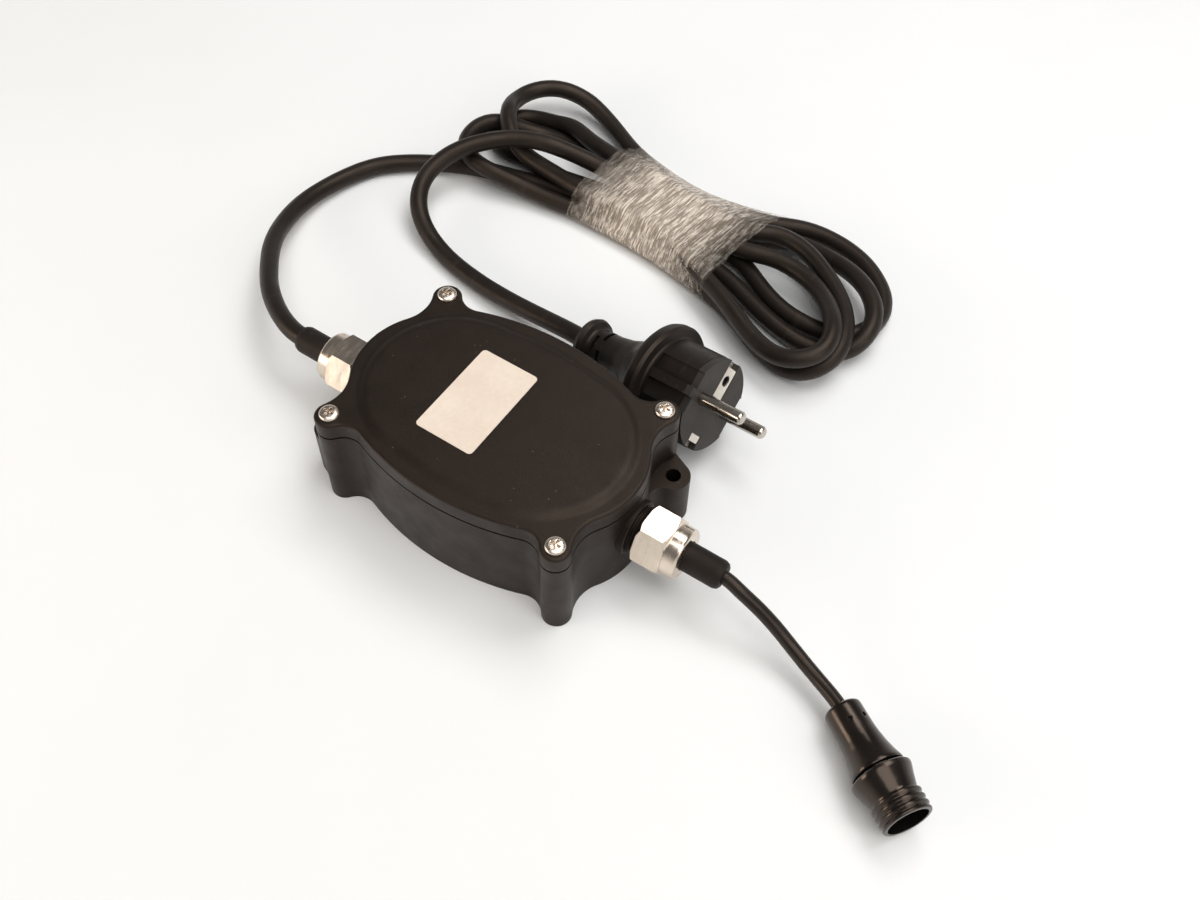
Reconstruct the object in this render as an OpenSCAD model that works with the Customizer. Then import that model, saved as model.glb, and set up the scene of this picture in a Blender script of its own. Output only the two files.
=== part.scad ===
// Outdoor low-voltage transformer for pond lights: a sealed two-part housing with a
// mains cord and earthed plug at one end and a 12 V lead with a screw connector at the other.
// Millimetres, +Z up, origin under the middle of the housing on the surface it stands on.
// +X points to the low-voltage gland, -X to the mains gland.

/* [Housing] */
// Half width of the housing along X
half_w = 57.2; // [56.4:0.2:58]
// Half depth of the housing along Y
half_d = 39.4; // [39:0.2:40.4]
// Height of the base shell
base_h = 36; // [36:0.5:40]
// Height of the lid skirt
lid_h = 7; // [6:0.5:9]
// Wall thickness
wall = 2.4; // [2:0.1:2.8]
// Screw lug position along X
lug_x = 47; // [46:0.5:48]
// Screw lug position along Y
lug_y = 33; // [32.5:0.5:34]
// Screw lug radius
lug_r = 5.4; // [5:0.1:6]

/* [Mounting ears] */
// Ear hole position along X
ear_x = 56.5; // [56:0.5:58]
// Ear hole position along Y
ear_y = 25.8; // [25:0.2:26.4]
// Ear radius
ear_r = 6.2; // [5.6:0.2:6.4]
// Ear height
ear_h = 21; // [12:1:24]
// Ear hole radius
ear_hole_r = 2.75; // [2.25:0.25:3]

/* [Cable glands] */
// Height of the gland axis
gland_z = 21.5; // [21:0.5:22.5]
// Thread radius of the nozzle
thread_r = 9; // [8.6:0.1:9]
// Nut width across flats
nut_af = 20.6; // [20.4:0.1:22]
// Radius of the rubber sleeve outside the nut
sleeve_r = 5.3; // [5:0.1:5.4]

/* [Cords] */
// Mains cord diameter
mains_d = 7.4; // [6.8:0.1:7.4]
// Low-voltage lead diameter
lv_d = 5; // [4:0.1:5]

/* [Plug] */
// Radius of the plug body
plug_r = 18; // [17.6:0.1:18.2]
// Radius of the grip flange
flange_r = 22.1; // [21.5:0.2:22.1]
// Pin radius
pin_r = 2.4; // [2.3:0.1:2.4]
// Pin length in front of the face
pin_len = 19; // [18:0.5:19]
// Distance between the pins
pin_gap = 19; // [19:0.1:19.4]

/* [Low-voltage connector] */
// Radius of the connector thread crests
conn_r = 8.8; // [8.7:0.1:9]
// Radius of the socket bore
socket_r = 7.2; // [6.9:0.1:7.2]

/* [Output] */
// Which sub-part to draw

/* [Hidden] */

$fn = 96;
gasket_t = 0.6;
lid_z = base_h + gasket_t;
top_z = lid_z + lid_h;
panel_h = 1;
side_r = 100;
end_r = 30;
fil_a = 8;
fil_b = 14;
sc = [0, half_d - side_r];
ec = [half_w - end_r, 0];
lug = [lug_x, lug_y];

// centre of a circle touching circle (p, r) and circle (q, s) from outside, with radius f
function touch(p, r, q, s, f, side) =
  let (d = q - p, l = norm(d), a = ((r + f) * (r + f) - (s + f) * (s + f) + l * l) / (2 * l),
    h = sqrt(max(0, (r + f) * (r + f) - a * a)), u = d / l)
  p + a * u + side * h * [-u[1], u[0]];
fa = touch(sc, side_r, lug, lug_r, fil_a, 1);
fb = touch(ec, end_r, lug, lug_r, fil_b, -1);
ear = [ear_x, ear_y];
fe = touch(ec, end_r, ear, ear_r, 5, -1);
function toward(p, q, r) = p + (q - p) / norm(q - p) * r;

// cord routes: hand-chosen centreline points
mains_a = [[-60, 0, 21.5], [-76, 0, 21.5], [-92, 0, 21.5], [-101, 1.5, 21.5], [-110, 5.5, 21],
  [-121, 13, 19.5], [-132, 24, 16.5], [-141, 35, 13.5], [-148, 48, 10], [-152.5, 66, 6.5],
  [-150.5, 86, 4.4], [-143, 103, 3.8], [-130, 114.5, 3.8], [-116, 122, 3.8], [-98, 130, 4.4]];
mains_b = [[-86, 140, 12], [-95, 134.5, 18], [-103, 127, 19.6], [-109, 119, 19], [-113, 110, 16.5],
  [-114, 100, 13.5], [-110, 91, 10.5], [-102, 84, 7], [-90, 79.5, 4.6], [-80, 76.2, 3.9],
  [-66, 73, 4.4], [-49, 70.3, 6.2], [-32, 68.2, 9], [-20.2, 67, 10.5], [-5.5, 64.8, 13.7]];
lv_a = [[60, 0, 21.5], [76, 0, 21.5], [92, 0, 21.5], [94.7, -0.2, 21.3], [97.5, -0.7, 20.8],
  [100.4, -1.1, 19.9], [103.5, -1.3, 18.7], [107, -1.5, 17.2], [111, -1.9, 15.3],
  [115.4, -2.6, 13.3], [119, -3.5, 11.9], [122.4, -4.5, 10.8], [125.9, -5.6, 9.9],
  [129.6, -6.9, 9.2], [133.3, -8.2, 8.8], [136.9, -9.6, 8.6], [140.5, -11.1, 8.7],
  [143.5, -12.5, 8.9], [147.5, -14.9, 9.2]];

function unit(v) = v / norm(v);
function way(p, i) = unit(p[min(i + 1, len(p) - 1)] - p[max(i - 1, 0)]);
function ring(c, t, r, k) =
  let (s = unit(cross(t, [0, 0, 1])), u = cross(s, t))
  [for (j = [0:k - 1]) c + r * (cos(360 * j / k) * s + sin(360 * j / k) * u)];
module tube(p, r, k) {
  n = len(p);
  points = [for (i = [0:n - 1]) each ring(p[i], way(p, i), r, k)];
  sides = [for (i = [0:n - 2]) for (j = [0:k - 1])
    [i * k + j, i * k + (j + 1) % k, (i + 1) * k + (j + 1) % k, (i + 1) * k + j]];
  caps = [[for (j = [0:k - 1]) k - 1 - j], [for (j = [0:k - 1]) (n - 1) * k + j]];
  polyhedron(points = points, faces = concat(sides, caps), convexity = 6);
}

// one corner web between the long arc, the lug and the end arc, o outward
module corner(o) {
  difference() {
    polygon([[20, 15], toward(sc, fa, side_r - 4), fa, lug, fb, toward(ec, fb, end_r - 4)]);
    translate(fa)
      circle(r = fil_a - o + 0.02);
    translate(fb)
      circle(r = fil_b - o + 0.02);
  }
  translate(lug)
    circle(r = lug_r + o);
}

module outline(o) {
  intersection() {
    translate(sc)
      circle(r = side_r + o);
    translate(-sc)
      circle(r = side_r + o);
    square([72, 2 * half_d + 4], center = true);
  }
  for (s = [-1, 1])
    intersection() {
      translate([s * ec[0], 0])
        circle(r = end_r + o);
      square([2 * half_w + 6, 46], center = true);
    }
  for (s = [0, 1])
    for (m = [0, 1])
      mirror([s, 0])
        mirror([0, m])
          corner(o);
}

module cavity(o) {
  difference() {
    outline(-o);
    for (sx = [-1, 1])
      for (sy = [-1, 1])
        translate([sx * lug_x, sy * lug_y])
          circle(r = lug_r);
  }
}

module at_lugs() {
  for (sx = [-1, 1])
    for (sy = [-1, 1])
      translate([sx * lug_x, sy * lug_y, 0])
        children();
}

module ears() {
  for (a = [0, 180])
    rotate([0, 0, a]) {
      translate(ear)
        circle(r = ear_r);
      difference() {
        polygon([[46, 30], [51.8, 34.6], [ear_x + 2.2, ear_y + ear_r - 0.4], ear, fe,
          toward(ec, fe, end_r - 4), [46, 10]]);
        translate(fe)
          circle(r = 5.02);
      }
    }
}

// things that lie along +X at gland height
module along_x(s) {
  translate([0, 0, gland_z])
    rotate([0, s * 90, 0])
      children();
}

module base_shell() {
  color([0.1, 0.1, 0.1])
    difference() {
      union() {
        linear_extrude(base_h)
          outline(0);
        linear_extrude(ear_h)
          ears();
        for (s = [-1, 1])
          along_x(s)
            rotate_extrude()
              polygon([[0, 50], [10.2, 50], [10.2, 58.1], [9.9, 58.5], [thread_r - 0.7, 58.5],
                for (t = [59.1:1.5:68.1]) each [[thread_r - 0.7, t], [thread_r, t + 0.5],
                  [thread_r, t + 0.9], [thread_r - 0.7, t + 1.4]],
                [thread_r - 0.7, 71.4], [thread_r - 1.1, 72], [0, 72]]);
      }
      difference() {
        translate([0, 0, wall])
          linear_extrude(base_h)
            cavity(wall);
        for (x = [-34, 34])
          for (y = [-20, 20])
            translate([x, y, 0])
              cylinder(r = 3, h = 6.4);
      }
      for (x = [-34, 34])
        for (y = [-20, 20])
          translate([x, y, 1.4])
            cylinder(r = 1.15, h = 10);
      for (s = [-1, 1])
        along_x(s) {
          cylinder(r = 6, h = 66);
          translate([0, 0, 65.9])
            cylinder(r = 6.6, h = 10);
        }
      at_lugs()
        translate([0, 0, base_h - 24])
          cylinder(r = 1.85, h = 30);
      for (s = [-1, 1])
        translate([s * ear_x, s * ear_y, -1])
          cylinder(r = ear_hole_r, h = ear_h + 2);
    }
}

module lid_gasket() {
  color([0.05, 0.05, 0.05])
    difference() {
      union() {
        translate([0, 0, base_h])
          linear_extrude(gasket_t)
            outline(-0.6);
        at_lugs()
          translate([0, 0, base_h])
            cylinder(r = lug_r - 0.7, h = gasket_t);
      }
      translate([0, 0, base_h - 1])
        linear_extrude(gasket_t + 2)
          cavity(wall);
      at_lugs()
        translate([0, 0, base_h - 1])
          cylinder(r = 2, h = gasket_t + 2);
    }
}

module lid() {
  color([0.1, 0.1, 0.1])
    difference() {
      union() {
        translate([0, 0, lid_z])
          linear_extrude(lid_h)
            outline(0);
        translate([0, 0, top_z])
          linear_extrude(panel_h)
            panel(0);
      }
      translate([0, 0, lid_z - 1])
        linear_extrude(lid_h - 1.6)
          cavity(wall);
      at_lugs() {
        translate([0, 0, lid_z - 1])
          cylinder(r = 1.9, h = lid_h + 3);
      }
    }
}

// raised middle panel of the lid
module panel(o) {
  intersection() {
    translate([0, 33.4 - side_r])
      circle(r = side_r - o);
    translate([0, side_r - 33.4])
      circle(r = side_r - o);
    union() {
      for (s = [-1, 1])
        translate([s * 19.4, 0])
          circle(r = 31.6 - o);
      square([38.8, 80], center = true);
    }
  }
}

module lid_screws() {
  color([0.8, 0.8, 0.78])
    at_lugs()
      difference() {
        union() {
          translate([0, 0, base_h - 21])
            cylinder(r = 1.55, h = top_z - base_h + 21.2);
          translate([0, 0, top_z])
            rotate_extrude()
              polygon([[0, 0], [3.55, 0], [3.55, 0.7], [3.2, 1.25], [2.3, 1.65], [0, 1.75]]);
        }
        translate([0, 0, top_z + 1.5])
          cube([3.6, 0.8, 2.4], center = true);
        translate([0, 0, top_z + 1.5])
          cube([0.8, 3.6, 2.4], center = true);
      }
}

// plate with rounded corners, centred, standing on z = 0
module rounded_plate(w, d, h, r) {
  translate([-w / 2, r - d / 2, 0])
    cube([w, d - 2 * r, h]);
  translate([r - w / 2, -d / 2, 0])
    cube([w - 2 * r, d, h]);
  for (x = [-1, 1])
    for (y = [-1, 1])
      translate([x * (w / 2 - r), y * (d / 2 - r), 0])
        cylinder(r = r, h = h);
}

module label() {
  color([0.9, 0.86, 0.78])
    translate([-8.2, -0.4, top_z + panel_h + 0.02])
      rounded_plate(23.6, 39.6, 0.18, 1.5);
}

module circuit_board() {
  color([0.12, 0.35, 0.18])
    difference() {
      translate([-38, -24, 6.42])
        cube([76, 48, 1.6]);
      for (x = [-34, 34])
        for (y = [-20, 20])
          translate([x, y, 5])
            cylinder(r = 1.6, h = 5);
    }
}

module board_screws() {
  color([0.75, 0.75, 0.76])
    for (x = [-34, 34])
      for (y = [-20, 20])
        translate([x, y, 0])
          difference() {
            union() {
              translate([0, 0, 2.2])
                cylinder(r = 0.95, h = 6);
              translate([0, 0, 8.06])
                cylinder(r = 2.4, h = 1.5);
            }
            translate([0, 0, 9.6])
              cube([3, 0.6, 1.4], center = true);
            translate([0, 0, 9.6])
              cube([0.6, 3, 1.4], center = true);
          }
}

// laminated core lies flat: middle leg along Y
module transformer_e_core() {
  color([0.35, 0.36, 0.38])
    difference() {
      translate([-21, -17.5, 14.8])
        cube([42, 27.95, 14.8]);
      for (x = [-14, 7])
        translate([x, -10.5, 14])
          cube([7, 22, 17]);
      for (z = [17.2 : 3 : 28])
        translate([-22, -17.8, z])
          cube([44, 0.5, 0.25]);
    }
}

module transformer_i_core() {
  color([0.33, 0.34, 0.36])
    translate([-21, 10.5, 14.8])
      cube([42, 7, 14.8]);
}

module transformer_bobbin() {
  color([0.85, 0.85, 0.8])
    difference() {
      union() {
        translate([-8.3, -10.3, 13.5])
          cube([16.6, 20.6, 17.4]);
        for (y = [-10.3, -0.6, 9.1])
          translate([-13.8, y, 8.4])
            cube([27.6, 1.2, 27.6]);
        for (y = [-10.3, 9.1])
          for (x = [-12, -4, 4, 12])
            translate([x, y + 0.6, 8.04])
              cylinder(r = 0.5, h = 1);
      }
      translate([-7.2, -11, 14.6])
        cube([14.4, 22, 15.2]);
    }
}

module coil(y0, y1, out) {
  translate([0, y1, 22.2])
    rotate([90, 0, 0])
      difference() {
        rounded_plate(2 * out, 2 * out, y1 - y0, 2);
        translate([-8.5, -8.9, -1])
          cube([17, 17.8, y1 - y0 + 2]);
      }
}

module primary_winding() {
  color([0.72, 0.35, 0.16])
    coil(-9, -0.7, 12.6);
}

module secondary_winding() {
  color([0.78, 0.42, 0.2])
    coil(0.7, 9, 12.2);
}

module thermal_fuse() {
  color([0.85, 0.83, 0.8]) {
    translate([-27, 20, 9.4])
      rotate([90, 0, 0])
        cylinder(r = 1.3, h = 8);
    translate([-27, 22, 9.4])
      rotate([90, 0, 0])
        cylinder(r = 0.35, h = 12);
    for (y = [10, 22])
      translate([-27, y, 8.06])
        cylinder(r = 0.35, h = 1.6);
  }
}

module bridge_rectifier() {
  color([0.08, 0.08, 0.09]) {
    translate([23.6, -17, 9])
      cube([8.6, 6.4, 3.2]);
    for (x = [25, 30.8])
      for (y = [-18, -10.6])
        translate([x - 0.3, y, 8.06])
          cube([0.6, 1.02, 2.4]);
  }
}

module smoothing_capacitor() {
  color([0.1, 0.12, 0.3])
    translate([29.5, -3.4, 8.1])
      difference() {
        rotate_extrude()
          polygon([[0, 0], [4.8, 0], [5, 0.4], [5, 1.6], [4.6, 2], [5, 2.4], [5, 19.4], [4.4, 20],
            [0, 20]]);
        translate([0, 0, 20])
          cube([7, 0.4, 0.6], center = true);
        translate([0, 0, 20])
          cube([0.4, 7, 0.6], center = true);
      }
}

module terminal(n) {
  difference() {
    cube([8, 6 * n, 9]);
    for (i = [0:n - 1])
      translate([4, 3 + 6 * i, 5.6]) {
        cylinder(r = 1.9, h = 5);
        translate([-8, 0, -2.4])
          rotate([0, 90, 0])
            cylinder(r = 1.5, h = 7);
      }
  }
  for (i = [0:n - 1])
    translate([4, 3 + 6 * i, 5.5])
      difference() {
        cylinder(r = 1.7, h = 2.4);
        translate([0, 0, 2.4])
          cube([4, 0.5, 1], center = true);
      }
}

module mains_terminal() {
  color([0.2, 0.45, 0.25])
    translate([-31.6, -9, 8.1])
      terminal(3);
}

module lv_terminal() {
  color([0.2, 0.45, 0.25])
    translate([36, 16.5, 8.1])
      rotate([0, 0, 180])
        terminal(2);
}

module core(p, r) {
  for (i = [0:len(p) - 2])
    let (d = p[i + 1] - p[i])
      translate(p[i])
        rotate([0, acos(d[2] / norm(d)), atan2(d[1], d[0])])
          cylinder(r = r, h = norm(d));
  for (i = [1:len(p) - 2])
    translate(p[i])
      sphere(r = 1.05 * r);
}

module live_core() {
  color([0.4, 0.22, 0.1])
    core([[-60, -1.6, 22.6], [-49, -1.6, 22.6], [-42, -4, 15], [-37, -6, 11.3], [-28.6, -6, 11.3]], 1.2);
}

module neutral_core() {
  color([0.12, 0.25, 0.6])
    core([[-60, 1.6, 22.6], [-51, 1.6, 22.6], [-44.5, 1, 15], [-38, 0, 11.3], [-28.6, 0, 11.3]], 1.2);
}

module earth_core() {
  color([0.3, 0.6, 0.15])
    core([[-60, 0, 19.8], [-52, 0, 19.8], [-46, 5, 14], [-38, 6, 11.3], [-28.6, 6, 11.3]], 1.2);
}

module plus_core() {
  color([0.6, 0.1, 0.1])
    core([[60, 1.3, 21.5], [49, 1.3, 21.5], [44, 8, 14], [40, 13.5, 11.3], [33.6, 13.5, 11.3]], 0.8);
}

module minus_core() {
  color([0.08, 0.08, 0.08])
    core([[60, -1.3, 21.5], [48, -1.3, 20], [44.5, 2, 14], [40, 7.5, 11.3], [35, 7.5, 11.3]], 0.8);
}

// rubber grommet: wedge inside the nozzle, flange under the nut, sleeve outside
module grommet(s, r) {
  along_x(s)
    rotate_extrude()
      polygon([[r, 62], [5.7, 62], [5.9, 65.6], [6.3, 66.2], [6.3, 72.3], [8, 72.3], [8, 73.5],
        [sleeve_r, 73.5], [sleeve_r, 90.6], [sleeve_r - 0.5, 92], [sleeve_r - 1.3, 92.6],
        [r, 92.6]]);
}

module mains_grommet() {
  color([0.09, 0.09, 0.09])
    grommet(-1, mains_d / 2 + 0.1);
}

module lv_grommet() {
  color([0.09, 0.09, 0.09])
    grommet(1, lv_d / 2 + 0.1);
}

module thrust_ring(s) {
  along_x(s)
    translate([0, 0, 73.8])
      difference() {
        cylinder(r = 8.2, h = 1.2);
        translate([0, 0, -1])
          cylinder(r = 5.8, h = 4);
      }
}

module mains_thrust_ring() {
  color([0.9, 0.9, 0.88])
    thrust_ring(-1);
}

module lv_thrust_ring() {
  color([0.9, 0.9, 0.88])
    thrust_ring(1);
}

// nickel-plated cap nut: hexagon, turned collar, bore for the sleeve
module gland_nut(s) {
  along_x(s)
    difference() {
      union() {
        intersection() {
          translate([0, 0, 61.6])
            rotate([0, 0, 30])
              cylinder(r = nut_af / sqrt(3), h = 11, $fn = 6);
          rotate_extrude()
            polygon([[0, 61.5], [nut_af / 2 + 0.3, 61.5], [nut_af / 2 + 1.6, 62.6], [nut_af / 2 + 1.6, 71],
              [nut_af / 2 - 0.3, 72.7], [0, 72.7]]);
        }
        rotate_extrude()
          polygon([[0, 72], [9.5, 72], [9.5, 76.6], [9.1, 77.4], [8.3, 77.9], [0, 78]]);
      }
      translate([0, 0, 60.6])
        cylinder(r = thread_r + 0.1, h = 11.9);
      translate([0, 0, 72.4])
        cylinder(r = 8.4, h = 2.9);
      translate([0, 0, 74])
        cylinder(r = sleeve_r + 0.3, h = 6);
    }
}

module mains_gland_nut() {
  color([0.8, 0.77, 0.72])
    gland_nut(-1);
}

module lv_gland_nut() {
  color([0.8, 0.77, 0.72])
    gland_nut(1);
}

module mains_lead_housing() {
  color([0.09, 0.09, 0.09])
    tube(mains_a, mains_d / 2, 12);
}

module mains_lead_plug() {
  color([0.09, 0.09, 0.09])
    tube(mains_b, mains_d / 2, 12);
}

// bundle of folded cord: two lobes of loops joined by the wrapped waist
module hank_solid(h) {
  translate([47, 139.5, 0])
    cylinder(r = 37, h = h);
  translate([-86, 156, 0])
    cylinder(r = 33, h = h);
  linear_extrude(h)
    polygon([[-86, 186], [-56, 174], [-20, 167], [14, 169.6], [21.5, 169.2], [40, 175.5], [50, 139],
      [39, 104], [20, 115], [-20, 124], [-56, 127], [-80, 124.5], [-86, 156]]);
}

module mains_hank() {
  color([0.09, 0.09, 0.09])
    translate([0, 0, 0.7])
      hank_solid(15.6);
}

module hank_wrap() {
  color([0.8, 0.82, 0.84, 0.5])
    translate([-54, 150.4, 0])
      rotate([0, 0, -7])
        rotate([90, 0, 90])
          linear_extrude(72)
            difference() {
              wrap_section(0);
              wrap_section(0.6);
            }
}

module wrap_section(o) {
  translate([-29 + o, o])
    square([58 - 2 * o, 17 - 2 * o]);
}

// the plug lies on its flange with the pins pointing up a little
module plug_pose() {
  translate([54, 56, 26.92])
    rotate([0, -12.4, -8.4])
      rotate([122.8, 0, 0])
        children();
}

module turned() {
  rotate([0, 90, 0])
    rotate_extrude()
      children();
}

// guide recess with a rib along one side of the plug, seen from that side
module guide_recess() {
  difference() {
    translate([-19, plug_r - 2.6, -8])
      cube([21, 6, 16]);
    translate([-20, plug_r - 3, -1.8])
      cube([24, 2.7, 3.6]);
  }
}

module plug_body() {
  color([0.1, 0.1, 0.1])
    plug_pose()
      difference() {
        turned()
          polygon([[0, -62.5], [7.7, -62.5], [9.8, -61.3], [10.4, -59.6], [9.8, -57.9], [8.1, -57],
            [7.6, -56], [7.7, -48], [8.6, -42], [10.6, -36], [14, -30.8], [17.6, -28], [20.6, -26.9],
            [21.6, -26], [flange_r, -24.4], [flange_r, -22.2], [21.2, -21], [18.6, -20.5],
            [plug_r, -19.8], [plug_r, -3], [0, -3]]);
        for (a = [0, 180])
          rotate([a, 0, 0]) {
            translate([-19, -3.4, plug_r - 2.6])
              cube([17, 6.8, 6]);
            translate([-3.6, -3.4, 14.1])
              cube([2, 6.8, 6]);
            guide_recess();
          }
        for (a = [0 : 90 : 270])
          rotate([a, 0, 0])
            for (x = [-55, -51.6])
              rotate([(x + 55) * 12, 0, 0])
                translate([x, 5.4, -3.6])
                  cube([1.5, 4, 7.2]);
        turned()
          polygon([[0, -63], [mains_d / 2 + 0.1, -63], [mains_d / 2 + 0.1, -56], [0, -56]]);
        for (y = [-1, 1])
          translate([-15, y * pin_gap / 2, 0])
            rotate([0, 90, 0])
              cylinder(r = pin_r + 0.6, h = 16);
        translate([-14, 0, -10])
          rotate([0, 90, 0])
            cylinder(r = 2.4, h = 16);
      }
}

module plug_face() {
  color([0.24, 0.24, 0.25])
    plug_pose()
      difference() {
        translate([-2.98, 0, 0])
          rotate([0, 90, 0])
            cylinder(r = plug_r - 0.1, h = 2.98);
        for (a = [0, 180])
          rotate([a, 0, 0]) {
            translate([-4, -3.4, 14.1])
              cube([6, 6.8, 6]);
            guide_recess();
          }
        translate([-1, -3.4, 12])
          cube([2, 6.8, 3]);
        translate([-1, -3.4, -15])
          cube([2, 6.8, 12]);
        translate([-4, 0, -10])
          rotate([0, 90, 0])
            cylinder(r = 2.4, h = 6);
        for (y = [-1, 1])
          translate([-5, y * pin_gap / 2, 0])
            rotate([0, 90, 0])
              cylinder(r = pin_r - 0.48, h = 16);
      }
}

module plug_pins() {
  color([0.78, 0.75, 0.68])
    plug_pose()
      for (y = [-1, 1])
        translate([0, y * pin_gap / 2, 0])
          turned()
            polygon([[0, -14], [2.8, -14], [2.8, -3.4], [pin_r - 0.5, -3.4], [pin_r - 0.5, 0],
              [pin_r, 0], [pin_r, pin_len - 1.2], [pin_r - 0.5, pin_len - 0.4],
              [pin_r - 1.3, pin_len], [0, pin_len]]);
}

// earth strip: flush with the face from radius r0, bent back over its edge into the side groove
module earth_strip(r0) {
  translate([-0.9, -3.1, r0])
    cube([0.8, 6.2, 15 - r0]);
  translate([-3.4, -3.1, 14.2])
    cube([3.3, 6.2, 0.8]);
  translate([-3.4, -3.1, 14.2])
    cube([0.8, 6.2, plug_r - 14.9]);
  translate([-17.4, -3.1, plug_r - 1.5])
    cube([14.8, 6.2, 0.8]);
}

module plug_earth_clips() {
  color([0.8, 0.77, 0.7])
    plug_pose() {
      earth_strip(12.1);
      difference() {
        rotate([180, 0, 0])
          earth_strip(3.1);
        translate([-2, 0, -10])
          rotate([0, 90, 0])
            cylinder(r = 2.1, h = 3);
      }
    }
}

module lv_lead() {
  color([0.1, 0.1, 0.1])
    tube(lv_a, lv_d / 2, 12);
}

module connector_pose() {
  translate([146.2, -14.05, 9.1])
    rotate([0, -3, -33.3])
      children();
}

module connector_sleeve() {
  color([0.07, 0.07, 0.07])
    connector_pose()
      difference() {
        turned()
          polygon([[lv_d / 2 + 0.1, 0], [5.6, 0], [6.3, 0.6], [6.5, 1.5], [6.6, 10], [6.9, 13],
            [7.4, 16.5], [8.2, 20], [9.1, 23], [9, 23.6], [7.4, 23.8], [7.4, 24.2],
            [lv_d / 2 + 0.1, 24.2]]);
        for (a = [14, -36])
          rotate([a, 0, 0])
            translate([6.6, 0, 5])
              cylinder(r = 0.75, h = 3);
      }
}

module connector_body() {
  color([0.06, 0.06, 0.06])
    connector_pose()
      difference() {
        turned()
          polygon([[0, 24.3], [8.2, 24.3], [8.4, 24.5], [9.8, 24.7], [10.4, 25.3], [10.4, 26.2],
            [9.9, 27.6], [9.2, 29.6], [8.6, 31.6], [8.1, 33.2], [8, 33.9], [conn_r, 34.4],
            [conn_r, 34.9], [8, 35.8], [8, 36.1], [conn_r, 36.65], [conn_r, 37.15], [8, 38], [8, 38.3],
            [conn_r, 38.9], [conn_r, 39.4], [8, 40.2], [8, 40.4], [conn_r - 0.1, 41], [8.5, 41.5],
            [8.1, 41.7], [socket_r, 41.7], [socket_r, 31.4], [socket_r - 0.4, 31.4],
            [socket_r - 0.4, 29.8], [0, 29.8]]);
        for (y = [-2.4, 2.4])
          translate([25.3, y, 0])
            rotate([0, 90, 0])
              cylinder(r = 1.31, h = 6);
      }
}

module connector_seal() {
  color([0.12, 0.12, 0.12])
    connector_pose()
      turned()
        polygon([[socket_r - 1.8, 29.82], [socket_r - 0.42, 29.82], [socket_r - 0.42, 31.3],
          [socket_r - 1.8, 31.3]]);
}

module connector_contacts() {
  color([0.82, 0.7, 0.4])
    connector_pose()
      for (y = [-2.4, 2.4])
        translate([0, y, 0])
          turned()
            polygon([[0, 25.32], [1.3, 25.32], [1.3, 29.9], [0.75, 29.9], [0.75, 26.3], [0, 26.3]]);
}

base_shell();
lid_gasket();
lid();
lid_screws();
label();
circuit_board();
board_screws();
transformer_e_core();
transformer_i_core();
transformer_bobbin();
primary_winding();
secondary_winding();
thermal_fuse();
bridge_rectifier();
smoothing_capacitor();
mains_terminal();
lv_terminal();
live_core();
neutral_core();
earth_core();
plus_core();
minus_core();
mains_grommet();
mains_thrust_ring();
mains_gland_nut();
lv_grommet();
lv_thrust_ring();
lv_gland_nut();
mains_lead_housing();
mains_hank();
hank_wrap();
mains_lead_plug();
plug_body();
plug_face();
plug_pins();
plug_earth_clips();
lv_lead();
connector_sleeve();
connector_body();
connector_seal();
connector_contacts();
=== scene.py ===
import bpy
import math
import numpy as np
from mathutils import Matrix, Vector
from mathutils.geometry import tessellate_polygon


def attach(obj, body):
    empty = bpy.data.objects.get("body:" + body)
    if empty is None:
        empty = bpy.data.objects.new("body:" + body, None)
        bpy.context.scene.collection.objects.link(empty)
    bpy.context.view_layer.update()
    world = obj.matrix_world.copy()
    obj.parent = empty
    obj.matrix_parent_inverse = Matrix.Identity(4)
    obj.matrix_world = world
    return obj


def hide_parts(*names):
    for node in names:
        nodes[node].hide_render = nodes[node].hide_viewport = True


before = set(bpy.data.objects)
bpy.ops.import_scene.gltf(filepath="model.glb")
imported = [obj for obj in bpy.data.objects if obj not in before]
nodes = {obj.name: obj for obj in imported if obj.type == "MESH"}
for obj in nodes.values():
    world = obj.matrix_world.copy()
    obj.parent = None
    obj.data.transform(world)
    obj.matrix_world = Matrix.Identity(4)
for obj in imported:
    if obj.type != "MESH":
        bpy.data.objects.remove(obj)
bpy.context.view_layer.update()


# ---------------------------------------------------------------- camera
def make_camera():
    az, el, roll = (math.radians(a) for a in (32.414, 54.461, 1.582))
    back = Vector((math.sin(az) * math.cos(el), -math.cos(az) * math.cos(el), math.sin(el)))
    right = Vector((0, 0, 1)).cross(back).normalized()
    up = back.cross(right)
    x = right * math.cos(roll) + up * math.sin(roll)
    y = up * math.cos(roll) - right * math.sin(roll)
    cam = bpy.data.objects.new("camera", bpy.data.cameras.new("camera"))
    bpy.context.collection.objects.link(cam)
    m = Matrix((x, y, back)).transposed().to_4x4()
    m.translation = Vector((0.021018, 0.032985, 0)) + back * 0.498895
    cam.matrix_world = m
    cam.data.lens = 39.73
    cam.data.sensor_width = 36
    cam.data.clip_start = 0.01
    bpy.context.scene.camera = cam


make_camera()


# ---------------------------------------------------------------- shader helpers
def material(name):
    m = bpy.data.materials.new(name)
    m.use_nodes = True
    t = m.node_tree
    return m, t, t.nodes["Principled BSDF"], t.nodes.new("ShaderNodeTexCoord").outputs["Object"]


def link(t, a, b):
    t.links.new(a, b)


def noise(t, where, scale, detail=4, rough=0.55, stretch=None):
    n = t.nodes.new("ShaderNodeTexNoise")
    n.inputs["Scale"].default_value = scale
    n.inputs["Detail"].default_value = detail
    n.inputs["Roughness"].default_value = rough
    if stretch:
        m = t.nodes.new("ShaderNodeMapping")
        m.inputs["Scale"].default_value = stretch
        link(t, where, m.inputs["Vector"])
        where = m.outputs["Vector"]
    link(t, where, n.inputs["Vector"])
    return n.outputs["Fac"]


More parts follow.
